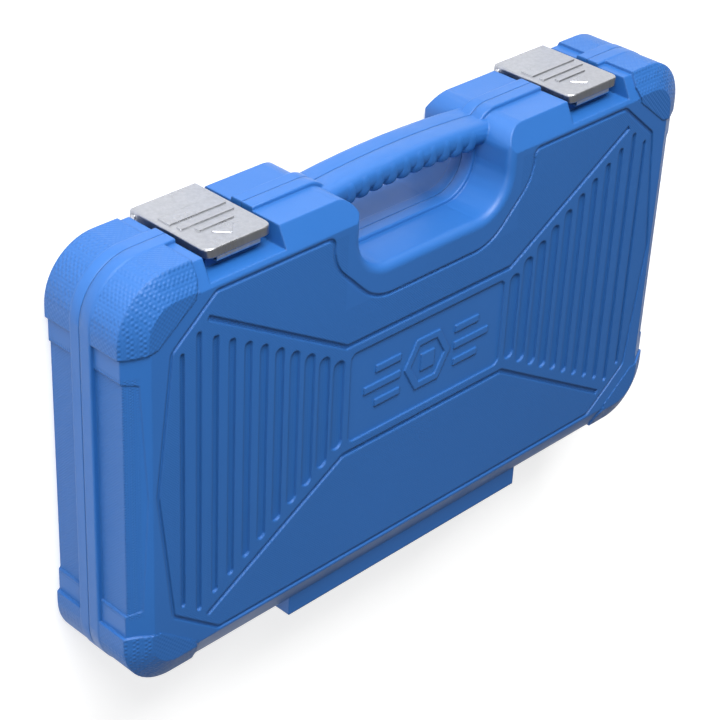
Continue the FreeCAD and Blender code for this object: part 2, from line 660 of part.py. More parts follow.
def cover_pad(name, inset, rear, top):
    """A plate in the X-Z plane, as deep as the cover's skirt, with rounded corners at its front."""
    owner = body(name)
    half, front = f"(cover_width / 2 - ({inset}))", f"(cover_front - ({inset}))"
    drawing = outline(sketch(owner, f"{name}_outline", "XZ_Plane"), [
        (f"-{half}", rear), (half, rear), (half, front, f"cover_corner - ({inset})"),
        (f"-{half}", front, f"cover_corner - ({inset})"),
    ])
    drawing.setExpression(".AttachmentOffset.Base.z", linked(f"-({top})"))
    feature(owner, "Pad", f"{name}_pad", drawing, Length=f"skirt_drop - ({inset})", Reversed=True)
    return owner


def latch(way, side):
    x = f"{way} * latch_spacing"
    face, inside = "-cover_face", "-(cover_face - cover_thick)"
    outer = cover_pad(f"cover_{side}", "0", "-cover_rear", face)
    front = -value("cover_face")
    rear = -value("cover_rear") + 0.01

    def front_edge(edge):
        return all(abs(vertex.Point.y - front) < 1e-4 for vertex in edge.Vertexes) and middle(edge).z > rear

    dress(outer, "Fillet", f"cover_{side}_edges", front_edge, Radius="cover_thick")
    place(outer, x=x)
    inner = place(cover_pad(f"cover_{side}_inside", "cover_thick", "-cover_rear * 2", inside), x=x)
    pieces = [cut(f"cover_{side}_pan", outer, inner)]
    for index, (width, start, height) in enumerate(COVER_RIBS, start=1):
        pieces.append(box(f"cover_{side}_press_{index}", f"{width}", "press_thick", f"{height}",
                          x, "-(cover_face + press_rise)", f"{start}", centred="x"))
    arrow = body(f"cover_{side}_arrow")
    mark = outline(sketch(arrow, f"cover_{side}_arrow_outline", "XZ_Plane"),
                   [("-arrow_half_width", "arrow_start"), ("arrow_half_width", "arrow_start"),
                    ("0", "arrow_start + arrow_length")])
    feature(arrow, "Pad", f"cover_{side}_arrow_pad", mark, Length="press_thick")
    pieces.append(place(arrow, x=x, y="-(cover_face + press_rise - press_thick)"))
    whole = fuse(f"cover_{side}_pressed", *pieces)
    eye = rod(f"cover_{side}_eye", "latch_pin_radius + running", "cover_width + 2",
              f"{x} - cover_width / 2 - 1", LATCH_PIN_Y, "-latch_pin_height", along="x")
    keep(cut(f"cover_{side}_finished", whole, eye), f"latch_cover_{side}")
    under = "-(cover_face - cover_thick - hook_gap)"
    turn_z = "cover_front - cover_thick - hook_gap"
    deep = "-(cover_face - hook_deep)"
    start, grip = "cover_front - hook_length", "cover_front - hook_grip"
    hook = profile_pad(f"hook_{side}", [
        (under, start), (under, turn_z, "hook_bend"), (deep, turn_z, "hook_bend"), (deep, grip),
        (f"{deep} - hook_tip", grip), (f"{deep} - hook_tip", f"{grip} + hook_thick"),
        (f"{deep} - hook_thick", f"{grip} + hook_thick"), (f"{deep} - hook_thick", f"{turn_z} - hook_thick"),
        (f"{under} + hook_thick", f"{turn_z} - hook_thick"), (f"{under} + hook_thick", start),
    ], "hook_width", x)
    keep(hook, f"latch_hook_{side}")
    pin = rod(f"roll_pin_{side}", "latch_pin_radius", "cover_width + 0.6",
              f"{x} - cover_width / 2 - 0.3", LATCH_PIN_Y, "-latch_pin_height", along="x")
    keep(pin, f"latch_pin_{side}")


# ---------------------------------------------------------------- tools
nests = []          # the hollows that the tray gives each tool: (radius, length, x, y, z, along)
LIE = "-tray_top"


def nest(radius, length, x, y, z=LIE, along="x"):
    nests.append((radius, length, x, y, z, along))


def turned(name, profile):
    """A round piece about its own Z axis, from (radius, height) corners."""
    owner = body(name)
    drawing = outline(sketch(owner, f"{name}_section", "XZ_Plane"), profile)
    feature(owner, "Revolution", f"{name}_turning", drawing, ReferenceAxis=(drawing, ["V_Axis"]), Angle=360.0)
    return owner


def socket(name, size, drive, length, x, y, along="y"):
    """A hexagon socket lying down with its drive end away from its mouth."""
    radius = socket_radius(size, drive)
    square, end = f"{drive}_square", f"{drive}_drive_radius"
    blank = turned(f"{name}_blank", [
        ("0", "0"), (f"{radius} - 0.8", "0"), (radius, "0.8"), (radius, f"{length} * 0.5"),
        (end, f"{length} * 0.58"), (end, f"{length} * 0.74"), (f"{end} - 0.5", f"{length} * 0.76"),
        (f"{end} - 0.5", f"{length} * 0.82"), (end, f"{length} * 0.84"),
        (end, f"{length} - 0.8"), (f"{end} - 0.8", length), ("0", length),
    ])
    mouth = bind(doc.addObject("Part::Prism", f"{name}_mouth"),
                 Circumradius=f"({size} + 0.2) / 2 / cos(30)", Height=f"{length} * 0.45")
    hole = box(f"{name}_drive", f"{square} + 0.2", f"{square} + 0.2", f"{length} * 0.4", z=f"{length} * 0.6")
    bore = rod(f"{name}_bore", f"min({size}; {square}) * 0.42", length)
    piece = cut(f"{name}_cut", blank, mouth, hole, bore)
    nest(f"max({radius}; {end})", length, x, y, along=along)
    keep(place(piece, x, y, LIE, *TURN[along]), name)


def socket_radius(size, drive):
    extra = 3.2 if drive == "half" else 2
    return f"max({drive}_drive_radius; {size} * 0.665 + {extra} / 2)"


def socket_row(drive, sizes, y):
    """Sockets side by side from the left end of the tray, each as far on as its width needs."""
    x = "-row_start"
    for size in sizes:
        radius = socket_radius(size, drive)
        x = f"{x} + {radius}"
        socket(f"socket_{drive}_{size}mm", size, drive, f"{drive}_socket_length", x, y)
        x = f"{x} + {radius} + {drive}_socket_gap"


def extension(name, drive, length, x, y):
    """A bar with a square socket at one end and a square with a ball at the other."""
    end, square = f"{drive}_drive_radius", f"{drive}_square"
    shank = f"{square} * 0.55"
    blank = turned(f"{name}_blank", [
        ("0", "0"), (f"{end} - 0.8", "0"), (end, "0.8"), (end, f"{end} * 2.1"), (shank, f"{end} * 2.6"),
        (shank, f"{length} - {square} * 2"), (f"{square} * 0.68", f"{length} - {square} * 1.8"),
        (f"{square} * 0.68", f"{length} - {square} * 1.1"), ("0", f"{length} - {square} * 1.1"),
    ])
    tip = box(f"{name}_square", square, square, f"{square} * 1.2", z=f"{length} - {square} * 1.2")
    hole = box(f"{name}_drive", f"{square} + 0.2", f"{square} + 0.2", f"{square} * 1.3")
    piece = cut(f"{name}_cut", fuse(f"{name}_bar", blank, tip), hole)
    nest(end, f"{end} * 2.8", x, y)
    nest(f"{square} * 0.71", length, x, y)
    keep(place(piece, x, y, LIE, *TURN["x"]), name)


def ratchet(drive, x, y):
    """A reversible ratchet lying with its drive square down: head and shank, grip, turning drive,
    reversing lever, release button and pawl."""
    name = f"ratchet_{drive}"
    radius, tall_head, square = f"{drive}_head_radius", f"{drive}_head_height", f"{drive}_square"
    length, grip = f"{drive}_ratchet_length", f"{drive}_grip_radius"
    middle_z = f"{tall_head} * 0.1"
    low, top = f"{middle_z} - {tall_head} / 2", f"{middle_z} + {tall_head} / 2"
    drum, lever, knob = f"{radius} * 0.62", f"{radius} * 0.6", f"{square} * 0.3"
    shank = f"{tall_head} * 0.34"

    head = turned(f"{name}_head", [
        ("0", "0"), (f"{radius} - 1.2", "0"), (radius, "1.2"), (radius, f"{tall_head} - 1.6"),
        (f"{radius} - 1.6", tall_head), ("0", tall_head),
    ])
    place(head, z=low)
    arm = turned(f"{name}_arm", [
        ("0", f"{radius} * 0.7"), (f"{tall_head} * 0.47", f"{radius} * 0.7"),
        (f"{shank} + 0.6", f"{radius} * 1.5"), (shank, f"{radius} * 2"), (shank, f"{length} * 0.62"),
        (f"{shank} * 0.8", f"{length} * 0.64"), (f"{shank} * 0.8", f"{length} * 0.93"),
        ("0", f"{length} * 0.93"),
    ])
    place(arm, "0", "0", middle_z, *TURN["x"])
    bore = rod(f"{name}_bore", f"{drum} + running", f"{tall_head} * 0.74", z=low)
    seat = rod(f"{name}_lever_seat", f"{lever} + 0.12", "2.1", z=f"{top} - 2")
    through = rod(f"{name}_button_way", f"{knob} + 0.1", tall_head, z=middle_z)
    pawl_x = f"{drum} + {radius} * 0.17"
    den = rod(f"{name}_pawl_den", f"{radius} * 0.17 + 0.1", f"{tall_head} * 0.6", pawl_x, "0", f"{low} + 1.5")
    piece = cut(f"{name}_body_cut", fuse(f"{name}_forging", head, arm), bore, seat, through, den)
    keep(place(piece, x, y), f"{name}_body")

    pawl = rod(f"{name}_pawl_rod", f"{radius} * 0.17", f"{tall_head} * 0.55", pawl_x, "0", f"{low} + 1.6")
    clear = rod(f"{name}_pawl_clear", f"{drum} + 0.2", tall_head, z=low)
    keep(place(cut(f"{name}_pawl_cut", pawl, clear), x, y), f"{name}_pawl")

    gear = rod(f"{name}_drum", drum, f"{tall_head} * 0.72 + 0.3", z=f"{low} - 0.3")
    flange = rod(f"{name}_flange", f"{drum} + 1.5", "1", z=f"{low} - 1.3")
    tip = box(f"{name}_tip", square, square, f"{square} * 0.85", z=f"{low} - 1.3 - {square} * 0.85")
    well = rod(f"{name}_well", f"{knob} + 0.1", tall_head, z=f"{low} + {tall_head} * 0.3")
    turning = cut(f"{name}_drive_cut", fuse(f"{name}_drive_whole", gear, flange, tip), well)
    keep(place(turning, x, y), f"{name}_drive")

    disc = rod(f"{name}_disc", lever, "3.2", z=f"{top} - 1.9")
    tab = box(f"{name}_tab", f"{radius} * 0.42", f"{radius} * 0.3", "3.4",
              f"{lever} * 0.75", "0", f"{top} + 0.1", centred="y")
    swing = cut(f"{name}_lever_cut", fuse(f"{name}_lever_whole", disc, tab),
                rod(f"{name}_lever_eye", f"{knob} + 0.15", tall_head, z=middle_z))
    keep(place(swing, x, y), f"{name}_lever")

    press = turned(f"{name}_press", [
        ("0", "0"), (knob, "0"), (knob, f"{tall_head} * 0.5 + 3"),
        (f"{knob} - 0.6", f"{tall_head} * 0.5 + 3.8"),
        ("0", f"{tall_head} * 0.5 + 3.8"),
    ])
    keep(place(press, x, y, f"{middle_z} + 0.6"), f"{name}_button")

    sleeve = turned(f"{name}_sleeve", [
        (f"{shank} * 0.8 + 0.02", f"{length} * 0.64"), (f"{grip} * 0.72", f"{length} * 0.64"),
        (grip, f"{length} * 0.68", f"{grip} * 1.5"), (f"{grip} * 0.84", f"{length} * 0.8", f"{grip} * 4"),
        (grip, f"{length} * 0.93", f"{grip} * 1.2"), (f"{grip} * 0.7", length), ("0", length),
        ("0", f"{length} * 0.93 + 0.02"), (f"{shank} * 0.8 + 0.02", f"{length} * 0.93 + 0.02"),
    ])
    keep(place(sleeve, x, y, middle_z, *TURN["x"]), f"{name}_grip")

    nest(radius, f"{tall_head} * 2", x, y, low, "z")
    nest(f"{drum} + 1.7", f"{tall_head}", x, y, f"{low} - 1.8", "z")
    nest(f"{square} * 0.72", f"{square} * 0.95 + 4", x, y, f"{low} - 1.4 - {square} * 0.9", "z")
    nest(f"{tall_head} * 0.47", f"{length} * 0.64", x, y, middle_z)
    nest(grip, f"{length} * 0.37", f"{x} + {length} * 0.63", y, middle_z)


def slide_bar(x, y):
    """A round bar with a head that slides along it and carries a drive square."""
    square, bar = "quarter_square", "quarter_square * 0.5"
    rail = turned("slide_rail", [
        ("0", "0"), (f"{bar} - 0.5", "0"), (bar, "0.5"), (bar, "slide_bar_length - 0.5"),
        (f"{bar} - 0.5", "slide_bar_length"), ("0", "slide_bar_length"),
    ])
    keep(place(rail, x, y, LIE, *TURN["x"]), "slide_bar")
    head = f"{square} * 1.05"
    middle_x = f"{x} + slide_bar_length / 2"
    knuckle = rod("slide_knuckle", head, f"{square} * 1.6", f"-{square} * 0.8", along="x")
    tip = box("slide_tip", square, square, f"{head} + {square} * 0.9", z=f"-{head} - {square} * 0.9")
    eye = rod("slide_eye", f"{bar} + 0.08", f"{square} * 3", f"-{square} * 1.5", along="x")
    piece = cut("slide_head_cut", fuse("slide_head_whole", knuckle, tip), eye)
    keep(place(piece, middle_x, y, LIE), "slide_head")
    nest(f"{head} + 0.2", "slide_travel * 2 + 16", f"{middle_x} - slide_travel - 8", y)
    nest(bar, "slide_bar_length", x, y)
    nests.append((f"{square} * 0.9", "slide_travel * 2 + 14", f"{middle_x} - slide_travel - 7", y,
                  f"{LIE} - {head} - {square} * 0.25", "x"))


def spinner(x, y):
    """A screwdriver-type handle with a quarter-inch square."""
    length = "118"
    grip = turned("spinner_body", [
        ("0", "0"), ("11", "0", "3"), ("13", "14", "20"), ("11.4", "34", "40"), ("13", "54", "20"),
        ("9", "72", "8"), ("8.4", "78"), ("3.45", "78"), ("3.45", "60"), ("0", "60"),
    ])
    keep(place(grip, x, y, LIE, *TURN["x"]), "spinner_grip")
    tip = f"{length} - 8"
    shaft = turned("spinner_rod", [("0", "60.1"), ("3.4", "60.1"), ("3.4", tip), ("0", tip)])
    tip = box("spinner_tip", "quarter_square * 0.98", "quarter_square * 0.98", "9", z=f"{length} - 9")
    keep(place(fuse("spinner_shaft_whole", shaft, tip), x, y, LIE, *TURN["x"]), "spinner_shaft")
    nest("13.1", "78.5", x, y)
    nest("quarter_square * 0.72", length, x, y)


def tray():
    """The moulded tray: a plate with a walled hollow for every tool, inside the base."""
    room = block("tray_room", True, "-(wall + fit)", "-(wall + fit)")
    cut_scoop(room, "tray_room", True, "-(wall + fit)")
    cut_latch_recesses(room, "tray_room", True, "-(wall + fit)")
    plate = box("tray_plate", "case_width", "case_length", "tray_wall", z="-tray_top - tray_wall")
    under = box("tray_under", "case_width", "case_length", "shell_height", z="-tray_top - shell_height")
    walls, hollows = [plate], []
    for index, (radius, length, x, y, z, along) in enumerate(nests, start=1):
        for title, grow, group in (("wall", "tray_gap + tray_wall", walls), ("hollow", "tray_gap", hollows)):
            start = {"x": x, "y": y, "z": z}
            start[along] = f"{start[along]} - ({grow})"
            group.append(rod(f"tray_{title}_{index}", f"{radius} + {grow}", f"{length} + 2 * ({grow})",
                             start["x"], start["y"], start["z"], along=along))
    blank = common("tray_blank", fuse("tray_walls", *walls), common("tray_slab", room, under))
    handle_way = box("tray_handle_way", f"2 * ({ARCH_REACH} + fit)", "case_length", "shell_height * 2",
                     y="-(handle_inner - fit) - case_length / 2", z="-shell_height")
    keep(cut("tray_cut", blank, handle_way, *hollows), "base_tray")


def liner():
    """The soft sheet inside the lid that holds the tools down."""
    room = block("liner_room", False, "-(wall + fit)", "-(wall + fit)")
    cut_scoop(room, "liner_room", False, "-(wall + fit)")
    cut_latch_recesses(room, "liner_room", False, "-(wall + fit)")
    sheet_box = box("liner_slab", "case_width", "case_length", "liner_thick",
                    z="shell_height - wall - fit - liner_thick")
    keep(common("liner_cut", room, sheet_box), "lid_liner")


# ---------------------------------------------------------------- the whole set
HALF_SIZES = (10, 12, 13, 14, 15, 16, 17, 18, 19, 21, 22)
QUARTER_SIZES = (4, 5, 6, 7, 8, 9, 10, 11, 12, 13)

EXTENSION_ROW = "(half_ratchet_row - half_head_radius - tool_gap - half_drive_radius)"
QUARTER_RATCHET_ROW = f"({EXTENSION_ROW} - half_drive_radius - small_gap - quarter_head_radius)"
QUARTER_ROW = f"({QUARTER_RATCHET_ROW} - quarter_head_radius - finger_gap - quarter_socket_length / 2)"
FRONT_ROW = f"({QUARTER_ROW} - quarter_socket_length / 2 - front_gap - spinner_radius)"

shell("lid", False, True)
shell("base", True, False)
hinge_pins()
latch(-1, "left")
latch(1, "right")
socket_row("half", HALF_SIZES, "half_ratchet_row + half_head_radius + row_gap")
ratchet("half", "-row_start + half_head_radius", "half_ratchet_row")
extension("extension_half_long", "half", "long_extension", "-row_start", EXTENSION_ROW)
extension("extension_half_short", "half", "short_extension", "row_start - short_extension",
          f"{QUARTER_RATCHET_ROW} + 6")
ratchet("quarter", "-row_start + quarter_head_radius", QUARTER_RATCHET_ROW)
socket_row("quarter", QUARTER_SIZES, f"{QUARTER_ROW} - quarter_socket_length / 2")
extension("extension_quarter", "quarter", "quarter_extension", "row_start - quarter_extension",
          f"{QUARTER_ROW} + 2")
for plug_size, shift in ((21, 7), (16, -21)):
    socket(f"spark_plug_socket_{plug_size}mm", plug_size, "half", "plug_socket_length",
           "row_start - plug_socket_length", f"half_ratchet_row + {shift}", along="x")
slide_bar("row_start - slide_bar_length", FRONT_ROW)
spinner("-row_start", FRONT_ROW)
tray()
liner()
doc.recompute()


def problems():
    """Objects that failed, and sub-parts whose shape is missing or unsound."""
    found = [item.Name for item in doc.Objects if {"Invalid", "Error"} & set(item.State)]
    found += [item.Label for item in nodes if item.Shape.isNull() or not item.Shape.isValid()]
    return found


faults = problems()
if faults:
    sys.exit(f"These objects failed: {', '.join(faults)}")
os.makedirs("parts", exist_ok=True)
for node in nodes:
    node.Shape.exportStep(f"parts/{node.Label}.step")
    size = node.Shape.BoundBox
    print(f"{node.Label}: {len(node.Shape.Solids)} solid, {node.Shape.Volume:.0f} mm3, "
          f"z {size.ZMin:.1f} to {size.ZMax:.1f}")
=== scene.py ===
"""Socket wrench set in a carrying case.

Lengths are in metres: +X along the case, +Y towards the hinge, +Z out of the lid.
"""
import math

import bmesh
import bpy
from mathutils import Matrix, Vector


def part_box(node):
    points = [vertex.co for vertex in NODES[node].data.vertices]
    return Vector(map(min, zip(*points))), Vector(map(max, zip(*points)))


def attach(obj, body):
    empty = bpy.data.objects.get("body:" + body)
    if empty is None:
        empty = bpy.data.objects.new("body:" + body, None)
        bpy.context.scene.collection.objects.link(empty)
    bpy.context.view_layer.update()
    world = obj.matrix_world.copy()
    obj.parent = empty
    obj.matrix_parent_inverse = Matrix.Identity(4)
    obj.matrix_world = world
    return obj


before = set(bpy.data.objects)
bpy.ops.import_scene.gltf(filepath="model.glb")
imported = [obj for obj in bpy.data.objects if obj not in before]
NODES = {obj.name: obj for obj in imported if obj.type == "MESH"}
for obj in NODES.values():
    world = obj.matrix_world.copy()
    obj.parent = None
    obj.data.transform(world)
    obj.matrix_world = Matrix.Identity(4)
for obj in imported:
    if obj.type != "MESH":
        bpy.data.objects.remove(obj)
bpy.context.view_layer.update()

MM = 0.001


# ---------------------------------------------------------------- camera, floor and light
PAD_RISE = 0.4 * MM
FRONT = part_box("lid_shell")[1].z - PAD_RISE


def stood_up(x, depth, up):
    """A direction given for the case stood on its foot, as seen from the front."""
    return Vector((-x, -up, -depth))


VIEW_TURN, VIEW_RISE, VIEW_ROLL = math.radians(-46.7), math.radians(32.12), math.radians(-2.88)
VIEW_DISTANCE = 1.004
VIEW_TARGET = Vector((0.0505, -0.0209, FRONT))
VIEW_LENS, VIEW_SENSOR = 102.85, 36


def make_camera():
    back = stood_up(math.sin(VIEW_TURN) * math.cos(VIEW_RISE), -math.cos(VIEW_TURN) * math.cos(VIEW_RISE),
                    math.sin(VIEW_RISE))
    right = (-back).cross(stood_up(0, 0, 1)).normalized()
    down = (-back).cross(right)
    cosine, sine = math.cos(VIEW_ROLL), math.sin(VIEW_ROLL)
    across = right * cosine + down * sine
    drop = down * cosine - right * sine
    camera = bpy.data.objects.new("camera", bpy.data.cameras.new("camera"))
    bpy.context.scene.collection.objects.link(camera)
    turn = Matrix((across, -drop, back)).transposed()
    camera.matrix_world = Matrix.Translation(VIEW_TARGET + back * VIEW_DISTANCE) @ turn.to_4x4()
    camera.data.lens = VIEW_LENS
    camera.data.sensor_width = VIEW_SENSOR
    bpy.context.scene.camera = camera


LIT_POINT = Vector((0, 0, 0.02))
WORLD_STRENGTH, FLOOR_GLOW, FLOOR_REACH = 0.27, 0.62, 6


def area_light(name, place, size, power):
    lamp = bpy.data.lights.new(name, "AREA")
    lamp.shape = "RECTANGLE"
    lamp.size, lamp.size_y = size
    lamp.energy = power
    holder = bpy.data.objects.new(name, lamp)
    bpy.context.scene.collection.objects.link(holder)
    holder.location = place
    holder.rotation_euler = (LIT_POINT - Vector(place)).to_track_quat("-Z", "Y").to_euler()


def make_studio():
    world = bpy.data.worlds.new("studio")
    bpy.context.scene.world = world
    world.use_nodes = True
    sky = world.node_tree.nodes["Background"]
    sky.inputs["Color"].default_value = (1, 1, 1, 1)
    sky.inputs["Strength"].default_value = WORLD_STRENGTH
    bpy.context.scene.view_settings.view_transform = "Standard"
    area_light("key", (0.45, -2.0, 1.0), (1.9, 1.1), 104)
    area_light("back_top", (-0.3, -1.7, -0.1), (1.4, 0.8), 12)
    area_light("end_fill", (1.9, -0.2, 0.8), (1.2, 1.0), 11)
    mesh = bpy.data.meshes.new("floor")
    shape = bmesh.new()
    bmesh.ops.create_grid(shape, x_segments=1, y_segments=1, size=FLOOR_REACH)
    shape.to_mesh(mesh)
    shape.free()
    floor = bpy.data.objects.new("floor", mesh)
    bpy.context.scene.collection.objects.link(floor)
    paint = Paint("floor_paper")
    grain = paint.noise(40, 3)
    paint.set("Base Color", paint.ramp(grain, [(0, (0.60, 0.60, 0.60)), (1, (0.62, 0.62, 0.62))]))
    paint.set("Emission Color", (1, 1, 1))
    paint.set("Emission Strength", FLOOR_GLOW)
    paint.set("Roughness", 0.9)
    mesh.materials.append(paint.material)


# ---------------------------------------------------------------- material building
class Paint:
    """A Principled material and short ways to add its nodes."""

    def __init__(self, name):
        self.material = bpy.data.materials.new(name)
        self.material.use_nodes = True
        self.tree = self.material.node_tree
        self.shader = self.tree.nodes["Principled BSDF"]
        self.place = self.tree.nodes.new("ShaderNodeTexCoord").outputs["Object"]

    def new(self, kind, **settings):
        node = self.tree.nodes.new(kind)
        for key, setting in settings.items():
            setattr(node, key, setting)
        return node

    def feed(self, socket, source):
        if hasattr(source, "links"):
            self.tree.links.new(source, socket)
        else:
            socket.default_value = source

    def set(self, socket, source):
        if isinstance(source, tuple) and len(source) == 3:
            source = (*source, 1)
        self.feed(self.shader.inputs[socket], source)

    def math(self, operation, first, second=0.0, third=0.0):
        node = self.new("ShaderNodeMath", operation=operation)
        for socket, source in zip(node.inputs, (first, second, third)):
            self.feed(socket, source)
        return node.outputs[0]

    def axes(self):
        node = self.new("ShaderNodeSeparateXYZ")
        self.feed(node.inputs[0], self.place)
        return node.outputs

    def scaled(self, scale):
        node = self.new("ShaderNodeMapping")
        self.feed(node.inputs["Vector"], self.place)
        node.inputs["Scale"].default_value = scale
        return node.outputs[0]

    def noise(self, scale, detail=4, stretch=(1, 1, 1), rough=0.55):
        node = self.new("ShaderNodeTexNoise")
        self.feed(node.inputs["Vector"], self.scaled(stretch))
        node.inputs["Scale"].default_value = scale
        node.inputs["Detail"].default_value = detail
        node.inputs["Roughness"].default_value = rough
        return node.outputs["Fac"]

    def ramp(self, source, stops):
        node = self.new("ShaderNodeValToRGB")
        self.feed(node.inputs[0], source)
        points = node.color_ramp.elements
        for index, (at, colour) in enumerate(stops):
            point = points[index] if index < 2 else points.new(at)
            point.position = at
            point.color = (*colour, 1) if isinstance(colour, tuple) else (colour, colour, colour, 1)
        return node.outputs[0]

    def blend(self, share, first, second):
        node = self.new("ShaderNodeMix", data_type="RGBA")
        for socket, source in ((node.inputs[0], share), (node.inputs[6], first), (node.inputs[7], second)):
            if isinstance(source, tuple) and len(source) == 3:
                source = (*source, 1)
            self.feed(socket, source)
        return node.outputs[2]

    def bump(self, height, distance, strength=1.0, below=None):
        node = self.new("ShaderNodeBump")
        self.feed(node.inputs["Height"], height)
        node.inputs["Distance"].default_value = distance
        node.inputs["Strength"].default_value = strength
        if below is not None:
            self.feed(node.inputs["Normal"], below)
        return node.outputs[0]

    def soft_edges(self, radius):
        """A normal that rounds every sharp edge a little."""
        node = self.new("ShaderNodeBevel", samples=6)
        node.inputs["Radius"].default_value = radius
        return node.outputs[0]

    def above(self, source, edge, soft):
        """0 below the edge and 1 above it, with a short ramp between."""
        node = self.new("ShaderNodeMapRange", interpolation_type="SMOOTHSTEP")
        self.feed(node.inputs["Value"], source)
        node.inputs["From Min"].default_value = edge - soft / 2
        node.inputs["From Max"].default_value = edge + soft / 2
        return node.outputs[0]

    def under(self, source, edge, soft):
        return self.opposite(self.above(source, edge, soft))

    def both(self, *parts):
        result = parts[0]
        for part in parts[1:]:
            result = self.math("MULTIPLY", result, part)
        return result

    def either(self, first, *others):
        result = first
        for other in others:
            result = self.math("MAXIMUM", result, other)
        return result

    def opposite(self, source):
        return self.math("SUBTRACT", 1.0, source)

    def diamonds(self, pitch, distances, planes):
        """Small pyramids in staggered rows, on faces that lie at the planes' distances from the middle."""
        waves = []
        for distance, plane in zip(distances, planes):
            turned = self.math("MULTIPLY", self.math("SUBTRACT", distance, plane), 2 * math.pi / pitch)
            waves.append(self.math("SINE", turned))
        pairs = [self.both(waves[0], waves[1]), self.both(waves[1], waves[2]), self.both(waves[2], waves[0])]
        return self.math("ADD", self.math("ADD", pairs[0], pairs[1]), pairs[2])


# ---------------------------------------------------------------- case plastic
SEAM = FRONT / 2
HALF_WIDTH, HALF_LENGTH, HALF_HEIGHT = 195 * MM, 111 * MM, SEAM
PAD_PROUD, END_SUNK = 1.6 * MM, 1.0 * MM
RIDGE_TOP = 7.5 * MM
# the end of the panel's outline, from the handle's side to the hinge's, in millimetres
PANEL_END = ((144, -95), (169.6, -73.5), (178.5, 0), (169.6, 73.5), (141.5, 95))
PANEL_HALF_LENGTH = 95 * MM
DEEPEST_SLOT = 2.2 * MM
GRIP_HALF_WIDTH, GRIP_FLOOR = 62 * MM, -53.5 * MM
PLAQUE_HALF_WIDTH, PLAQUE_HALF_LENGTH = 55.5 * MM, 25.5 * MM
PAD_START_X, PAD_START_Y = 154 * MM, 78 * MM
PAD_SLANT_X, PAD_SLANT_Y, PAD_SLANT_REACH = 0.587, 0.809, 169.2 * MM
END_START_X, END_HALF_LENGTH = 187.3 * MM, 67 * MM
CRISP, SOFT = 0.6 * MM, 1.0 * MM


def inside_outline(paint, across, along):
    """1 inside the panel's outline, from the distance each straight side lies out from the middle."""
    sides = []
    for (x1, y1), (x2, y2) in zip(PANEL_END, PANEL_END[1:]):
        length = math.hypot(x2 - x1, y2 - y1)
        nx, ny = (y2 - y1) / length, -(x2 - x1) / length
        reach = nx * x1 + ny * y1
        part = paint.math("ADD", paint.math("MULTIPLY", across, nx), paint.math("MULTIPLY", along, ny))
        sides.append(paint.under(part, reach * MM, 0.8 * MM))
    sides.append(paint.under(along, PANEL_HALF_LENGTH, 0.8 * MM))
    sides.append(paint.above(along, -PANEL_HALF_LENGTH, 0.8 * MM))
    return paint.both(*sides)


def case_plastic():
    paint = Paint("blue_moulded_plastic")
    x, y, z = paint.axes()
    across = paint.math("ABSOLUTE", x)
    height = paint.math("ABSOLUTE", paint.math("SUBTRACT", z, SEAM))
    long_way = paint.math("ABSOLUTE", y)
    above_ridge = paint.above(height, RIDGE_TOP, CRISP)
    by_grip = paint.both(paint.under(across, GRIP_HALF_WIDTH, SOFT), paint.under(y, GRIP_FLOOR, SOFT))
    on_plaque = paint.both(paint.under(across, PLAQUE_HALF_WIDTH, SOFT),
                           paint.under(long_way, PLAQUE_HALF_LENGTH, SOFT))
    on_panel = paint.both(inside_outline(paint, across, y),
                          paint.above(height, HALF_HEIGHT - DEEPEST_SLOT, 0.4 * MM),
                          paint.opposite(by_grip), paint.opposite(on_plaque))
    slant = paint.math("ADD", paint.math("MULTIPLY", across, PAD_SLANT_X),
                       paint.math("MULTIPLY", long_way, PAD_SLANT_Y))
    on_pads = paint.both(paint.above(across, PAD_START_X, SOFT), paint.above(long_way, PAD_START_Y, SOFT),
                         paint.above(slant, PAD_SLANT_REACH, SOFT), above_ridge)
    on_ends = paint.both(paint.above(across, END_START_X, 2 * SOFT),
                         paint.under(long_way, END_HALF_LENGTH, SOFT), above_ridge)
    drift = paint.noise(9, 3)
    speck = paint.noise(900, 2)
    tone = paint.ramp(drift, [(0.3, (0.0150, 0.097, 0.318)), (0.7, (0.0170, 0.105, 0.343))])
    grained = paint.either(on_panel, on_pads, on_ends)
    paint.set("Base Color", paint.blend(paint.math("MULTIPLY", grained, 0.35), tone, (0.0115, 0.090, 0.300)))
    smooth_gloss = paint.ramp(paint.noise(60, 4), [(0.3, 0.40), (0.7, 0.47)])
    paint.set("Roughness", paint.blend(grained, smooth_gloss, (0.52, 0.52, 0.52)))
    distances = (across, long_way, height)
    pad_planes = (HALF_WIDTH + PAD_PROUD, HALF_LENGTH + PAD_PROUD, HALF_HEIGHT + PAD_RISE)
    end_planes = (HALF_WIDTH - END_SUNK, HALF_LENGTH, HALF_HEIGHT)
    coarse = paint.both(paint.diamonds(2.6 * MM, distances, pad_planes), on_pads)
    middle = paint.both(paint.diamonds(1.4 * MM, distances, (0, 0, HALF_HEIGHT)), on_panel, 0.85)
    fine = paint.both(paint.diamonds(1.5 * MM, distances, end_planes), on_ends, 0.85)
    relief = paint.math("ADD", paint.math("ADD", coarse, middle), fine)
    under = paint.bump(speck, 0.00002, 0.5, paint.soft_edges(1.3 * MM))
    paint.set("Normal", paint.bump(relief, 0.00007, 1.0, under))
    paint.shader.inputs["Specular IOR Level"].default_value = 0.4
    return paint.material


def plain_plastic(name, dark, light, rough=0.5):
    paint = Paint(name)
    paint.set("Base Color", paint.ramp(paint.noise(14, 4), [(0.3, dark), (0.7, light)]))
    paint.set("Roughness", paint.ramp(paint.noise(80, 4), [(0.3, rough - 0.06), (0.7, rough + 0.06)]))
    paint.set("Normal", paint.bump(paint.noise(1400, 3), 0.00004, 0.6))
    return paint.material


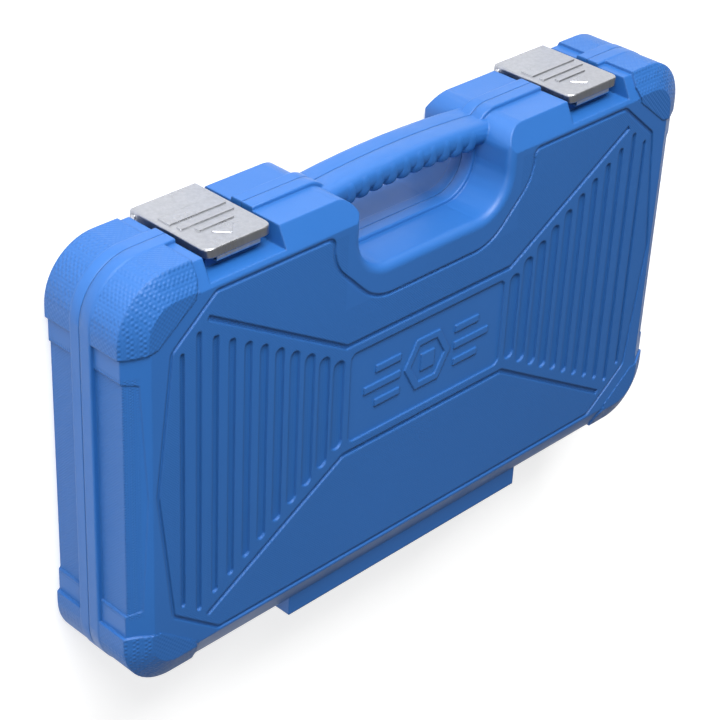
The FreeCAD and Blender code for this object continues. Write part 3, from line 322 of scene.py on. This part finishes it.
def metal(name, dark, light, rough, brush=(1, 1, 1), scale=400, depth=0.00002, edge=0.3 * MM):
    paint = Paint(name)
    streaks = paint.noise(scale, 6, brush, 0.65)
    paint.set("Base Color", paint.ramp(streaks, [(0.3, dark), (0.7, light)]))
    paint.set("Metallic", 1.0)
    patches = paint.noise(scale / 6, 4, brush)
    paint.set("Roughness", paint.ramp(patches, [(0.3, rough * 0.8), (0.7, rough * 1.25)]))
    paint.set("Normal", paint.bump(streaks, depth, 0.5, paint.soft_edges(edge)))
    return paint.material


FINISHES = {
    "case_plastic": case_plastic(),
    "tray_plastic": plain_plastic("black_tray_plastic", (0.012, 0.012, 0.013), (0.02, 0.02, 0.021), 0.55),
    "liner_foam": plain_plastic("grey_foam", (0.035, 0.036, 0.038), (0.06, 0.061, 0.064), 0.9),
    "latch_steel": metal("satin_nickel", (0.36, 0.37, 0.40), (0.44, 0.45, 0.48), 0.31, (1, 0.06, 1), 500,
                         0.000008, 0.7 * MM),
    "spring_steel": metal("spring_steel", (0.55, 0.55, 0.54), (0.68, 0.68, 0.67), 0.32, (1, 0.1, 1), 500),
    "pin_steel": metal("turned_steel", (0.5, 0.5, 0.5), (0.62, 0.62, 0.62), 0.28, (0.05, 1, 1), 600),
    "tool_chrome": metal("polished_chrome", (0.70, 0.71, 0.73), (0.80, 0.81, 0.83), 0.16, (1, 1, 1), 300,
                         0.000008),
    "drive_steel": metal("dark_steel", (0.22, 0.22, 0.23), (0.32, 0.32, 0.33), 0.34, (1, 1, 1), 500),
    "grip_rubber": plain_plastic("black_grip", (0.014, 0.014, 0.015), (0.028, 0.028, 0.03), 0.6),
}


def finish_nodes():
    for part in NODES.values():
        slot = part.data.materials[0].name
        part.data.materials[0] = FINISHES[slot]


SHELL_ROUND = 0.6 * MM


def round_edges(part):
    """Weld the loose faces and round the sharp edges, as live modifiers."""
    weld = part.modifiers.new("weld", "WELD")
    weld.merge_threshold = 0.00001
    flatten = part.modifiers.new("flatten", "DECIMATE")
    flatten.decimate_type = "DISSOLVE"
    flatten.angle_limit = math.radians(0.6)
    bevel = part.modifiers.new("round", "BEVEL")
    bevel.width = SHELL_ROUND
    bevel.segments = 2
    bevel.profile = 0.5
    bevel.limit_method = "ANGLE"
    bevel.angle_limit = math.radians(30)
    bevel.use_clamp_overlap = True
    bevel.harden_normals = True


# ---------------------------------------------------------------- finger grip under the handle
BUMPS, BUMP_PITCH = 10, 9.4 * MM
ARCH_CENTRE, ARCH_RADIUS = 472.9 * MM, 571.9 * MM
LOBE = Vector((4.85, 7.0, 6.9)) * MM
LOBE_RISE, LOBE_SEAM_GAP = 4.6 * MM, 0.1 * MM
LOBE_SQUARENESS = 2.8


def finger_lobe(name, rides_on, turn, side):
    """One rounded lobe of the grip, on the lid's half of the handle (side 1) or the base's (side -1)."""
    shape = bmesh.new()
    bmesh.ops.create_uvsphere(shape, u_segments=40, v_segments=24, radius=1)
    reach = ARCH_RADIUS + LOBE_RISE
    level = SEAM + side * (LOBE.z + LOBE_SEAM_GAP)
    middle = Vector((reach * math.sin(turn), ARCH_CENTRE - reach * math.cos(turn), level))
    tilt = Matrix.Rotation(turn, 3, "Z")
    for corner in shape.verts:
        corner.co /= sum(abs(part) ** LOBE_SQUARENESS for part in corner.co) ** (1 / LOBE_SQUARENESS)
        corner.co = middle + tilt @ (corner.co * LOBE)
    for face in shape.faces:
        face.smooth = True
    mesh = bpy.data.meshes.new(name)
    shape.to_mesh(mesh)
    shape.free()
    lobe = bpy.data.objects.new(name, mesh)
    bpy.context.scene.collection.objects.link(lobe)
    mesh.materials.append(FINISHES["case_plastic"])
    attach(lobe, rides_on)


def finger_grip():
    for index in range(BUMPS):
        turn = (index - (BUMPS - 1) / 2) * BUMP_PITCH / ARCH_RADIUS
        finger_lobe(f"lid_finger_lobe_{index + 1}", "lid", turn, 1)
        finger_lobe(f"base_finger_lobe_{index + 1}", "base", turn, -1)


make_camera()
make_studio()
finish_nodes()
finger_grip()
for shell in ("lid_shell", "base_shell"):
    round_edges(NODES[shell])
